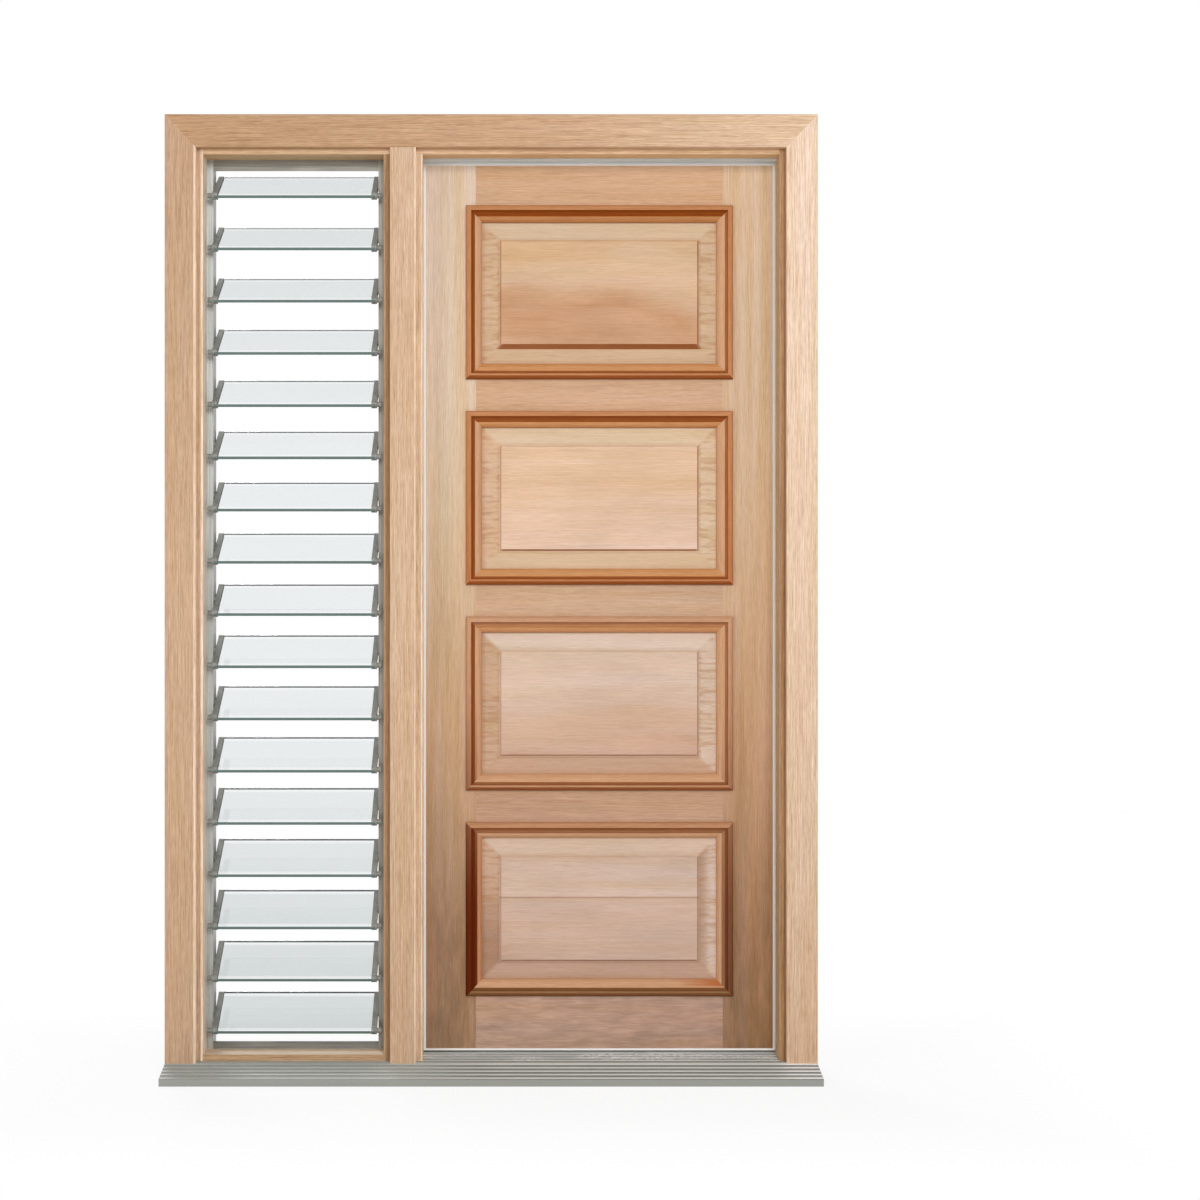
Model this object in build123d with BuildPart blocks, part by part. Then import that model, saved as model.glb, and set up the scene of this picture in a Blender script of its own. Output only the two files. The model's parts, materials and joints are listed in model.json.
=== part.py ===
from build123d import *
import math
import os

os.makedirs("parts", exist_ok=True)

# Four-panel entrance door in a timber frame, with a louvre sidelight on its left and a metal sill.
# X runs to the right seen from outside, Y runs into the house and Z runs up, in millimetres.
# The origin is at the middle of the set, in the front plane of the face boards, under the sill.

# Door leaf
leaf_width = 820.0
leaf_height = 2040.0
leaf_thickness = 40.0
leaf_gap = 5.0
closing_bevel = 2.5
stile_width = 127.0
top_rail_height = 127.0
cross_rail_height = 119.0
bottom_rail_height = 148.0
panel_count = 4

# Grooves, tongues and raised panels
groove_width = 12.0
groove_depth = 10.0
tongue_clearance = 0.5
panel_flat = 17.0
panel_margin = 58.5
bevel_rise = 4.5
field_step_run = 9.5
field_step_rise = 6.0

# Bolection moulding, measured from the edge of the panel opening
moulding_lap = 23.0
moulding_reach = 14.0
moulding_height = 13.0
bead_width = 13.0
bead_round = 8.0
cove_width = 6.0
cove_depth = 7.0
cove_sag = 1.8
ovolo_sag = 4.0
ovolo_toe = 5.0
moulding_clearance = 0.2

# White seal on the leaf's front edge
seal_thickness = 3.0
seal_inset = 3.0
seal_width = 9.5
seal_bottom_width = 4.5

# Timber frame
jamb_thickness = 35.0
head_thickness = 35.0
mullion_width = 64.0
sidelight_width = 432.0
stop_projection = 12.0
head_stop_projection = 6.0
stop_depth = 60.0
board_thickness = 18.0
board_width = 70.0
board_reveal = 14.0
head_board_width = 74.5
head_board_reveal = 12.0
board_arris = 1.5
mullion_cover_width = 58.5

# Metal strip under the head that carries the seal
carrier_height = 6.0
carrier_depth = 16.0
carrier_wall = 2.0

# Sill, a hollow ribbed section
sill_height = 38.0
sill_front_height = 32.0
nose_height = 17.0
nose_reach = 82.0
sill_slope_depth = 80.0
sill_back_reach = 2.0
sill_wall = 2.5
rib_height = 1.5
rib_width = 7.5
rib_pitch = 18.5
foot_margin = 50.0

# Louvre gallery in the sidelight
bottom_rail_top = 48.0
channel_width = 27.0
channel_wall = 2.0
channel_lip = 6.0
top_bar_height = 31.0
bottom_bar_height = 17.0
bar_wall = 2.0
blade_count = 17
blade_width = 140.0
blade_thickness = 6.0
blade_tilt = 29.0
top_pivot_drop = 33.0
bottom_pivot_rise = 61.0
clip_width = 12.0
clip_thickness = 12.0
clip_seat = 8.0
clip_slot_clearance = 0.2
clip_toe_radius = 9.0
clip_lug_radius = 6.0
clip_lug_length = 11.0
pivot_radius = 9.0
pivot_length = 2.0

# Butt hinges on the inside
hinge_count = 3
hinge_height = 100.0
hinge_top_drop = 180.0
hinge_bottom_rise = 230.0
flap_width = 32.0
flap_thickness = 2.5
barrel_radius = 6.0
barrel_standoff = 1.0
knuckle_count = 5
knuckle_gap = 0.4
pin_radius = 3.0
pin_clearance = 0.06
pin_head_radius = 5.0
pin_head_height = 3.0

# Places worked out across the set
frame_half = (sidelight_width + mullion_width + leaf_width + 2 * leaf_gap) / 2
mullion_left = sidelight_width - frame_half
mullion_right = mullion_left + mullion_width
mullion_middle = (mullion_left + mullion_right) / 2
leaf_left = mullion_right + leaf_gap
leaf_right = leaf_left + leaf_width
leaf_middle = (leaf_left + leaf_right) / 2
jamb_outer = frame_half + jamb_thickness
stop_edge = frame_half - stop_projection
board_inner = stop_edge + board_reveal
board_outer = board_inner + board_width

# Places worked out into the house
rebate_y = board_thickness + stop_depth
leaf_front = rebate_y + leaf_gap + seal_thickness
leaf_back = leaf_front + leaf_thickness
leaf_mid_y = (leaf_front + leaf_back) / 2
sill_back = leaf_back + sill_back_reach
rebate_depth = leaf_back - rebate_y
louvre_y = (rebate_y + leaf_back) / 2

# Places worked out upwards
leaf_bottom = sill_height + leaf_gap
leaf_top = leaf_bottom + leaf_height
head_face = leaf_top + leaf_gap
head_top = head_face + head_thickness
head_stop_edge = head_face - head_stop_projection
board_head_inner = head_stop_edge + head_board_reveal
board_head_outer = board_head_inner + head_board_width

# Sizes worked out in the leaf
opening_width = leaf_width - 2 * stile_width
cross_rails_total = (panel_count - 1) * cross_rail_height
opening_height = (leaf_height - top_rail_height - bottom_rail_height - cross_rails_total) / panel_count
opening_left = leaf_left + stile_width
opening_right = leaf_right - stile_width
tongue_front = leaf_mid_y - groove_width / 2

leaf_mid_plane = Plane(origin=(leaf_middle, leaf_mid_y, 0), x_dir=(1, 0, 0), z_dir=(0, -1, 0))


def save(piece, name):
    piece.part.label = name
    export_step(piece.part, f"parts/{name}.step")


def section_plane(x, y=0.0, z=0.0):
    """A plane across the set: its first axis runs into the house and its second runs up."""
    return Plane(origin=(x, y, z), x_dir=(0, 1, 0), z_dir=(1, 0, 0))


def front_plane(y, x=0.0, z=0.0):
    """A plane that faces the street: its first axis runs right and its second runs up."""
    return Plane(origin=(x, y, z), x_dir=(1, 0, 0), z_dir=(0, -1, 0))


# Sill
nose_point = (-nose_reach, nose_height)
front_knee = (0.0, sill_front_height)
back_knee = (sill_slope_depth, sill_height)
back_point = (sill_back, sill_height)
front_slope = math.atan2(front_knee[1] - nose_point[1], front_knee[0] - nose_point[0])
back_slope = math.atan2(back_knee[1] - front_knee[1], back_knee[0] - front_knee[0])
sill_skin = rib_height + sill_wall


def sill_grooves(start, end, slope):
    """Cuts between the ribs along one slope of the sill's top."""
    length = math.dist(start, end)
    count = int(length // rib_pitch)
    first = (length - (count - 1) * rib_pitch) / 2
    places = []
    for n in range(count):
        along = first + n * rib_pitch
        places.append((start[0] + along * math.cos(slope), start[1] + along * math.sin(slope)))
    with Locations(*places):
        Rectangle(
            rib_pitch - rib_width, 2 * rib_height, rotation=math.degrees(slope), mode=Mode.SUBTRACT
        )


def sill_hollow(front, front_top, back, back_top):
    """One hollow between two webs of the sill, under its sloping skin."""
    Polygon(
        (front + sill_wall / 2, sill_wall),
        (back - sill_wall / 2, sill_wall),
        (back - sill_wall / 2, back_top - sill_skin),
        (front + sill_wall / 2, front_top - sill_skin),
        align=None,
        mode=Mode.SUBTRACT,
    )


with BuildPart() as sill:
    with BuildSketch(section_plane(-board_outer)):
        with BuildLine():
            Polyline(
                (-nose_reach, 0), (sill_back, 0), back_point, back_knee, front_knee, nose_point, close=True
            )
        make_face()
        sill_grooves(nose_point, front_knee, front_slope)
        sill_grooves(front_knee, back_knee, back_slope)
        sill_hollow(-nose_reach + sill_wall / 2, nose_height, 0, sill_front_height)
        sill_hollow(0, sill_front_height, sill_slope_depth, sill_height)
        sill_hollow(sill_slope_depth, sill_height, sill_back - sill_wall / 2, sill_height)
    extrude(amount=2 * board_outer)
save(sill, "sill")

# The space under the sill's rib tops, which the feet of the timbers are cut to
with BuildPart() as sill_space:
    with BuildSketch(section_plane(-board_outer - foot_margin)):
        with BuildLine():
            Polyline(
                (-nose_reach, -foot_margin),
                (sill_back + foot_margin, -foot_margin),
                (sill_back + foot_margin, sill_height),
                back_knee,
                front_knee,
                nose_point,
                close=True,
            )
        make_face()
    extrude(amount=2 * (board_outer + foot_margin))


# Timber frame
def jamb(side):
    """A rebated jamb: side is -1 on the left and 1 on the right."""
    with BuildPart() as piece:
        with BuildSketch(Plane.XY):
            with BuildLine():
                Polyline(
                    (side * jamb_outer, board_thickness),
                    (side * stop_edge, board_thickness),
                    (side * stop_edge, rebate_y),
                    (side * frame_half, rebate_y),
                    (side * frame_half, leaf_back),
                    (side * jamb_outer, leaf_back),
                    close=True,
                )
            make_face()
        extrude(amount=head_top)
        add(sill_space.part, mode=Mode.SUBTRACT)
    return piece


hinge_axis_x = frame_half - leaf_gap / 2
hinge_axis_y = leaf_back + barrel_standoff + barrel_radius
hinge_low = leaf_bottom + hinge_bottom_rise
hinge_high = leaf_top - hinge_top_drop
hinge_middles = []
for n in range(hinge_count):
    hinge_middles.append(hinge_low + n * (hinge_high - hinge_low) / (hinge_count - 1))


def flap_mortises(face_x, direction):
    """Housings for the hinge flaps, sunk from a face of the jamb or the leaf."""
    for middle in hinge_middles:
        with Locations((face_x + direction * flap_thickness / 2, leaf_back - flap_width / 2, middle)):
            Box(flap_thickness, flap_width, hinge_height, mode=Mode.SUBTRACT)


left_jamb = jamb(-1)
save(left_jamb, "left_jamb")

with BuildPart() as right_jamb:
    add(jamb(1).part)
    flap_mortises(frame_half, 1)
save(right_jamb, "right_jamb")

with BuildPart() as head:
    with BuildSketch(front_plane(rebate_y, z=head_stop_edge)):
        with Locations((0, (head_top - head_stop_edge) / 2)):
            Rectangle(2 * stop_edge, head_top - head_stop_edge)
    extrude(amount=stop_depth)
    with BuildSketch(front_plane(leaf_back, z=head_face)):
        with Locations((0, head_thickness / 2)):
            Rectangle(2 * frame_half, head_thickness)
    extrude(amount=rebate_depth)
save(head, "head")

with BuildPart() as mullion:
    with BuildSketch(Plane.XY):
        with Locations((mullion_middle, board_thickness + stop_depth / 2)):
            Rectangle(mullion_width + 2 * stop_projection, stop_depth)
    extrude(amount=head_stop_edge)
    with BuildSketch(Plane.XY):
        with Locations((mullion_middle, rebate_y + rebate_depth / 2)):
            Rectangle(mullion_width, rebate_depth)
    extrude(amount=head_face)
    add(sill_space.part, mode=Mode.SUBTRACT)
save(mullion, "mullion")


# Face boards, mitred at the top corners
def side_board(side):
    with BuildPart() as piece:
        with BuildSketch(front_plane(board_thickness)):
            with BuildLine():
                Polyline(
                    (side * board_outer, 0),
                    (side * board_inner, 0),
                    (side * board_inner, board_head_inner),
                    (side * board_outer, board_head_outer),
                    close=True,
                )
            make_face()
        extrude(amount=board_thickness)
        chamfer(piece.edges().group_by(Axis.Y)[0].filter_by(Axis.Z), board_arris)
        add(sill_space.part, mode=Mode.SUBTRACT)
    return piece


save(side_board(-1), "left_face_board")
save(side_board(1), "right_face_board")

with BuildPart() as head_face_board:
    with BuildSketch(front_plane(board_thickness)):
        with BuildLine():
            Polyline(
                (-board_inner, board_head_inner),
                (board_inner, board_head_inner),
                (board_outer, board_head_outer),
                (-board_outer, board_head_outer),
                close=True,
            )
        make_face()
    extrude(amount=board_thickness)
    chamfer(head_face_board.edges().group_by(Axis.Y)[0].filter_by(Axis.X), board_arris)
save(head_face_board, "head_face_board")

with BuildPart() as mullion_cover:
    with BuildSketch(Plane.XY):
        with Locations((mullion_middle, board_thickness / 2)):
            Rectangle(mullion_cover_width, board_thickness)
    extrude(amount=board_head_inner)
    chamfer(mullion_cover.edges().group_by(Axis.Y)[0].filter_by(Axis.Z), board_arris)
    add(sill_space.part, mode=Mode.SUBTRACT)
save(mullion_cover, "mullion_cover")

# Seal carrier, an angle under the head in front of the leaf
carrier_left = mullion_right + stop_projection
with BuildPart() as head_seal_carrier:
    with BuildSketch(section_plane(carrier_left, rebate_y - carrier_depth, head_stop_edge)):
        with BuildLine():
            Polyline(
                (0, 0),
                (0, -carrier_height),
                (carrier_wall, -carrier_height),
                (carrier_wall, -carrier_wall),
                (carrier_depth - carrier_wall, -carrier_wall),
                (carrier_depth - carrier_wall, -carrier_height),
                (carrier_depth, -carrier_height),
                (carrier_depth, 0),
                close=True,
            )
        make_face()
    extrude(amount=stop_edge - carrier_left)
save(head_seal_carrier, "head_seal_carrier")

# Sidelight: timber bottom rail and metal gallery
sidelight_middle = (mullion_left - frame_half) / 2
with BuildPart() as sidelight_bottom_rail:
    with BuildSketch(Plane.XY):
        with Locations((sidelight_middle, board_thickness + stop_depth / 2)):
            Rectangle(sidelight_width - 2 * stop_projection, stop_depth)
        with Locations((sidelight_middle, louvre_y)):
            Rectangle(sidelight_width, rebate_depth)
    extrude(amount=bottom_rail_top)
    add(sill_space.part, mode=Mode.SUBTRACT)
save(sidelight_bottom_rail, "sidelight_bottom_rail")


def louvre_channel(face_x, direction):
    """A channel open towards the timber: direction points from that face to the glass."""
    with BuildPart() as piece:
        with BuildSketch(Plane.XY.offset(bottom_rail_top)):
            with Locations((face_x + direction * channel_width / 2, louvre_y)):
                Rectangle(channel_width, rebate_depth)
            with Locations((face_x + direction * (channel_width - channel_wall) / 2, louvre_y)):
                Rectangle(channel_width - channel_wall, rebate_depth - 2 * channel_lip, mode=Mode.SUBTRACT)
            with Locations((face_x + direction * channel_width / 2, louvre_y)):
                Rectangle(
                    channel_width - 2 * channel_wall, rebate_depth - 2 * channel_wall, mode=Mode.SUBTRACT
                )
        extrude(amount=head_face - bottom_rail_top)
    return piece


channel_left_edge = channel_width - frame_half
channel_right_edge = mullion_left - channel_width
gallery_width = channel_right_edge - channel_left_edge
save(louvre_channel(-frame_half, 1), "left_louvre_channel")
save(louvre_channel(mullion_left, -1), "right_louvre_channel")


def gallery_angle(web_z, leg_z):
    """An angle between the two channels: its web lies on the timber and its leg is in front."""
    web_inside = web_z + math.copysign(bar_wall, leg_z - web_z)
    leg_inside = rebate_y + bar_wall
    with BuildPart() as piece:
        with BuildSketch(section_plane(channel_left_edge)):
            with BuildLine():
                Polyline(
                    (rebate_y, web_z),
                    (leaf_back, web_z),
                    (leaf_back, web_inside),
                    (leg_inside, web_inside),
                    (leg_inside, leg_z),
                    (rebate_y, leg_z),
                    close=True,
                )
            make_face()
        extrude(amount=gallery_width)
    return piece


save(gallery_angle(head_face, head_face - top_bar_height), "louvre_top_bar")
save(gallery_angle(bottom_rail_top, bottom_rail_top + bottom_bar_height), "louvre_bottom_bar")

# Louvre blades and the clips that hold their ends
lowest_pivot = bottom_rail_top + bottom_bar_height + bottom_pivot_rise
highest_pivot = head_face - top_bar_height - top_pivot_drop
blade_pitch = (highest_pivot - lowest_pivot) / (blade_count - 1)
pivots = []
for n in range(blade_count):
    pivots.append((0, lowest_pivot + n * blade_pitch))
clip_slot = blade_thickness + 2 * clip_slot_clearance
toe_reach = blade_width / 2 - clip_toe_radius
toe_drop = toe_reach * math.sin(math.radians(blade_tilt))
toe_forward = toe_reach * math.cos(math.radians(blade_tilt))
toes = []
for y, z in pivots:
    toes.append((y - toe_forward, z - toe_drop))


def clip_outline():
    """The side view of the clips: a long slot shape with a thicker round toe at the front."""
    with Locations(*pivots):
        SlotOverall(blade_width, clip_thickness, rotation=blade_tilt)
    with Locations(*toes):
        Circle(clip_toe_radius)


def blade_clips(face_x, direction):
    """Clips along one channel: direction points from the channel to the glass."""
    clip_back = face_x + direction * pivot_length
    seat_back = clip_back + direction * (clip_width - clip_seat)
    with BuildPart() as piece:
        with BuildSketch(section_plane(face_x, louvre_y)):
            with Locations(*pivots):
                Circle(pivot_radius)
        extrude(amount=direction * pivot_length)
        with BuildSketch(section_plane(clip_back, louvre_y)):
            with Locations(*toes):
                Circle(clip_lug_radius)
        extrude(amount=-direction * clip_lug_length)
        with BuildSketch(section_plane(clip_back, louvre_y)):
            clip_outline()
        extrude(amount=direction * (clip_width - clip_seat))
        with BuildSketch(section_plane(seat_back, louvre_y)):
            clip_outline()
            with Locations(*pivots):
                Rectangle(blade_width, clip_slot, rotation=blade_tilt, mode=Mode.SUBTRACT)
        extrude(amount=direction * clip_seat)
    return piece


save(blade_clips(channel_left_edge, 1), "left_blade_clips")
save(blade_clips(channel_right_edge, -1), "right_blade_clips")

blade_inset = pivot_length + clip_width - clip_seat
with BuildPart() as louvre_blades:
    with BuildSketch(section_plane(channel_left_edge + blade_inset, louvre_y)):
        with Locations(*pivots):
            Rectangle(blade_width, blade_thickness, rotation=blade_tilt)
    extrude(amount=gallery_width - 2 * blade_inset)
save(louvre_blades, "louvre_blades")

# Door leaf: grooved stiles
with BuildPart() as closing_stile:
    with BuildSketch(Plane.XY.offset(leaf_bottom)):
        with BuildLine():
            Polyline(
                (leaf_left, leaf_back),
                (leaf_left + closing_bevel, leaf_front),
                (opening_left, leaf_front),
                (opening_left, leaf_back),
                close=True,
            )
        make_face()
        with Locations((opening_left - groove_depth / 2, leaf_mid_y)):
            Rectangle(groove_depth, groove_width, mode=Mode.SUBTRACT)
    extrude(amount=leaf_height)
save(closing_stile, "closing_stile")

with BuildPart() as hinge_stile:
    with BuildSketch(Plane.XY.offset(leaf_bottom)):
        with Locations((opening_right + stile_width / 2, leaf_mid_y)):
            Rectangle(stile_width, leaf_thickness)
        with Locations((opening_right + groove_depth / 2, leaf_mid_y)):
            Rectangle(groove_depth, groove_width, mode=Mode.SUBTRACT)
    extrude(amount=leaf_height)
    flap_mortises(leaf_right, -1)
save(hinge_stile, "hinge_stile")


# Door leaf: rails with stub tenons in the stiles' grooves
def rail(bottom, height, groove_below, groove_above):
    low = bottom + groove_depth * groove_below
    high = bottom + height - groove_depth * groove_above
    with BuildPart() as piece:
        with BuildSketch(section_plane(opening_left, leaf_mid_y)):
            with Locations((0, bottom + height / 2)):
                Rectangle(leaf_thickness, height)
            if groove_below:
                with Locations((0, (bottom + low) / 2)):
                    Rectangle(groove_width, groove_depth, mode=Mode.SUBTRACT)
            if groove_above:
                with Locations((0, (bottom + height + high) / 2)):
                    Rectangle(groove_width, groove_depth, mode=Mode.SUBTRACT)
        extrude(amount=opening_width)
        with BuildSketch(section_plane(opening_left - groove_depth, leaf_mid_y)):
            with Locations((0, (low + high) / 2)):
                Rectangle(groove_width, high - low)
        extrude(amount=opening_width + 2 * groove_depth)
    return piece


save(rail(leaf_top - top_rail_height, top_rail_height, True, False), "top_rail")
save(rail(leaf_bottom, bottom_rail_height, False, True), "bottom_rail")
panel_pitch = opening_height + cross_rail_height
for n in range(1, panel_count):
    rail_bottom = leaf_top - top_rail_height - n * panel_pitch
    save(rail(rail_bottom, cross_rail_height, True, True), f"cross_rail_{n}")


# Door leaf: panels raised on both faces, their tongues in the grooves
def raised_panel(middle):
    tongue_reach = 2 * (groove_depth - tongue_clearance)
    bevel_front = tongue_front - bevel_rise
    bevel_inset = 2 * (panel_margin - field_step_run)
    with BuildPart() as piece:
        with BuildSketch(front_plane(leaf_mid_y, leaf_middle, middle)):
            Rectangle(opening_width + tongue_reach, opening_height + tongue_reach)
        extrude(amount=groove_width / 2)
        with BuildSketch(front_plane(tongue_front, leaf_middle, middle)):
            Rectangle(opening_width - 2 * panel_flat, opening_height - 2 * panel_flat)
        with BuildSketch(front_plane(bevel_front, leaf_middle, middle)):
            Rectangle(opening_width - bevel_inset, opening_height - bevel_inset)
        loft()
        with BuildSketch(front_plane(bevel_front, leaf_middle, middle)):
            Rectangle(opening_width - bevel_inset, opening_height - bevel_inset)
        with BuildSketch(front_plane(bevel_front - field_step_rise, leaf_middle, middle)):
            Rectangle(opening_width - 2 * panel_margin, opening_height - 2 * panel_margin)
        loft()
        mirror(about=leaf_mid_plane)
    return piece


# Door leaf: bolection mouldings, which lap the opening's edge and stand proud of the leaf
def bolection_moulding(middle):
    half_width = opening_width / 2
    half_height = opening_height / 2
    seat = tongue_front - leaf_front
    toe = ovolo_toe - seat
    cove_start = moulding_lap - bead_width
    cove_end = cove_start - cove_width
    cove_floor = moulding_height - cove_depth
    section = Plane(
        origin=(leaf_middle, leaf_front, middle - half_height), x_dir=(0, 0, -1), z_dir=(-1, 0, 0)
    )
    with BuildPart() as piece:
        with BuildLine(front_plane(leaf_front, leaf_middle, middle)) as opening_edge:
            Polyline(
                (0, -half_height),
                (half_width, -half_height),
                (half_width, half_height),
                (-half_width, half_height),
                (-half_width, -half_height),
                close=True,
            )
        with BuildSketch(section):
            with BuildLine():
                Polyline(
                    (-moulding_clearance, 0),
                    (moulding_lap, 0),
                    (moulding_lap, moulding_height - bead_round),
                )
                RadiusArc(
                    (moulding_lap, moulding_height - bead_round),
                    (moulding_lap - bead_round, moulding_height),
                    -bead_round,
                )
                Line((moulding_lap - bead_round, moulding_height), (cove_start, moulding_height))
                SagittaArc((cove_start, moulding_height), (cove_end, cove_floor), cove_sag)
                SagittaArc((cove_end, cove_floor), (-moulding_reach, toe), -ovolo_sag)
                Polyline(
                    (-moulding_reach, toe),
                    (-moulding_reach, -seat),
                    (-moulding_clearance, -seat),
                    (-moulding_clearance, 0),
                )
            make_face()
        sweep(path=opening_edge.wire(), transition=Transition.RIGHT)
    return piece


for n in range(1, panel_count + 1):
    panel_middle = leaf_top - top_rail_height - (n - 1) * panel_pitch - opening_height / 2
    save(raised_panel(panel_middle), f"panel_{n}")
    outer_moulding = bolection_moulding(panel_middle)
    save(outer_moulding, f"outer_moulding_{n}")
    with BuildPart() as inner_moulding:
        mirror(outer_moulding.part, about=leaf_mid_plane)
    save(inner_moulding, f"inner_moulding_{n}")

# White seal round the leaf's front edge
seal_hole_width = leaf_width - 2 * (seal_inset + seal_width)
seal_hole_height = leaf_height - seal_inset - seal_width - seal_bottom_width
seal_outer_height = leaf_height - seal_inset
with BuildPart() as leaf_seal:
    with BuildSketch(front_plane(leaf_front, leaf_middle, leaf_bottom)):
        with Locations((0, seal_outer_height / 2)):
            Rectangle(leaf_width - 2 * seal_inset, seal_outer_height)
        with Locations((0, seal_bottom_width + seal_hole_height / 2)):
            Rectangle(seal_hole_width, seal_hole_height, mode=Mode.SUBTRACT)
    extrude(amount=seal_thickness)
save(leaf_seal, "leaf_seal")


# Butt hinges
def hinge_flaps(face_x, direction, knuckles):
    """Flaps sunk flush in one face, with the knuckles of that side rolled round the pin."""
    knuckle_pitch = hinge_height / knuckle_count
    flap_x = face_x + direction * flap_thickness / 2
    with BuildPart() as piece:
        for middle in hinge_middles:
            hinge_foot = middle - hinge_height / 2
            with BuildSketch(Plane.XY.offset(hinge_foot)):
                with Locations((flap_x, leaf_back - flap_width / 2)):
                    Rectangle(flap_thickness, flap_width)
            extrude(amount=hinge_height)
            for n in knuckles:
                with BuildSketch(Plane.XY.offset(hinge_foot + n * knuckle_pitch + knuckle_gap / 2)):
                    with Locations((flap_x, (leaf_back + hinge_axis_y) / 2)):
                        Rectangle(flap_thickness, hinge_axis_y - leaf_back)
                    with Locations((hinge_axis_x, hinge_axis_y)):
                        Circle(barrel_radius)
                        Circle(pin_radius + pin_clearance, mode=Mode.SUBTRACT)
                extrude(amount=knuckle_pitch - knuckle_gap)
    return piece


save(hinge_flaps(frame_half, 1, range(0, knuckle_count, 2)), "hinge_jamb_flaps")
save(hinge_flaps(leaf_right, -1, range(1, knuckle_count, 2)), "hinge_leaf_flaps")

pin_reach = hinge_height - knuckle_gap
with BuildPart() as hinge_pins:
    for middle in hinge_middles:
        with BuildSketch(Plane.XY.offset(middle - pin_reach / 2)):
            with Locations((hinge_axis_x, hinge_axis_y)):
                Circle(pin_radius)
        extrude(amount=pin_reach)
        with BuildSketch(Plane.XY.offset(middle + pin_reach / 2)):
            with Locations((hinge_axis_x, hinge_axis_y)):
                Circle(pin_head_radius)
        extrude(amount=pin_head_height)
save(hinge_pins, "hinge_pins")
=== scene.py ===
import json
import math

import bpy
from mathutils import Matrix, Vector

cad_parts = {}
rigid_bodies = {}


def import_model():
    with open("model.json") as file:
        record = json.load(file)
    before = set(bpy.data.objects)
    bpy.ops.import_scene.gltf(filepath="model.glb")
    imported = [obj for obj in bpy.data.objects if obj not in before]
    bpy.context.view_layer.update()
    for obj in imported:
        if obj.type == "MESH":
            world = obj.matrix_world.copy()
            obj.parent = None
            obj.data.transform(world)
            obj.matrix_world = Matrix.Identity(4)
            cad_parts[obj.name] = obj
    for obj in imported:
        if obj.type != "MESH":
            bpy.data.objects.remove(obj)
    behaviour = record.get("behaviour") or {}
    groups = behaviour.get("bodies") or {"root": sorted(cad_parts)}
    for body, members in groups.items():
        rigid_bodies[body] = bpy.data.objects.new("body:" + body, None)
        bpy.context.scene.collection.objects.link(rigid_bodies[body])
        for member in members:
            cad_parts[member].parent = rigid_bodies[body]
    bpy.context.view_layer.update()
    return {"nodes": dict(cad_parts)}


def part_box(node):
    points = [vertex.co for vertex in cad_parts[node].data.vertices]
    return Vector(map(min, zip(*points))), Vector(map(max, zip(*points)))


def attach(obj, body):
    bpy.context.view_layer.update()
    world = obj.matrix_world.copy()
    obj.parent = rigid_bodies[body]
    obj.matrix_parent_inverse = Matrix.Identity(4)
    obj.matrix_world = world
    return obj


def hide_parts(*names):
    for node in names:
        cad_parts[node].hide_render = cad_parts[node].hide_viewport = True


# Four-panel timber door in its frame, with a louvre sidelight and a ribbed metal sill.
# Metres, in the part's own frame: X to the right seen from outside, Y into the house, Z up.

for thing in list(bpy.data.objects):
    bpy.data.objects.remove(thing)
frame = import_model()
nodes = frame["nodes"]

X_AXIS = 0
Z_AXIS = 2
PANEL_COUNT = 4

# Sizes that the finishes and the added pieces follow, as the part has them
BEAD_WIDTH = 0.013
COVE_WIDTH = 0.006
FIELD_WIDTH = 0.449
FIELD_HEIGHT = 0.235
LEAF_MIDDLE_Y = 0.106
FIELD_DEPTH = 0.0165
MARGIN_DEPTH = 0.0105
SILL_KNEE = 0.032
SILL_FRONT_FALL = 0.015 / 0.082
SILL_BACK_RISE = 0.006 / 0.080
SILL_TOP = 0.038
BLADE_COUNT = 17
BLADE_WIDTH = 0.140
BLADE_THICKNESS = 0.006
BLADE_TILT = math.radians(29.0)
LOWEST_PIVOT = 0.126
HIGHEST_PIVOT = 2.024
HINGE_COUNT = 3
HINGE_LOWEST = 0.273
HINGE_PITCH = 0.815
FLAP_MIDDLE_Y = 0.110
JAMB_FLAP_FACE = 0.663
LEAF_FLAP_FACE = 0.658


def paint(red, green, blue):
    """A screen colour out of 255 as the linear colour that a socket takes."""
    linear = []
    for part in (red, green, blue):
        share = part / 255
        linear.append(share / 12.92 if share <= 0.04045 else ((share + 0.055) / 1.055) ** 2.4)
    return (*linear, 1.0)


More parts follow.
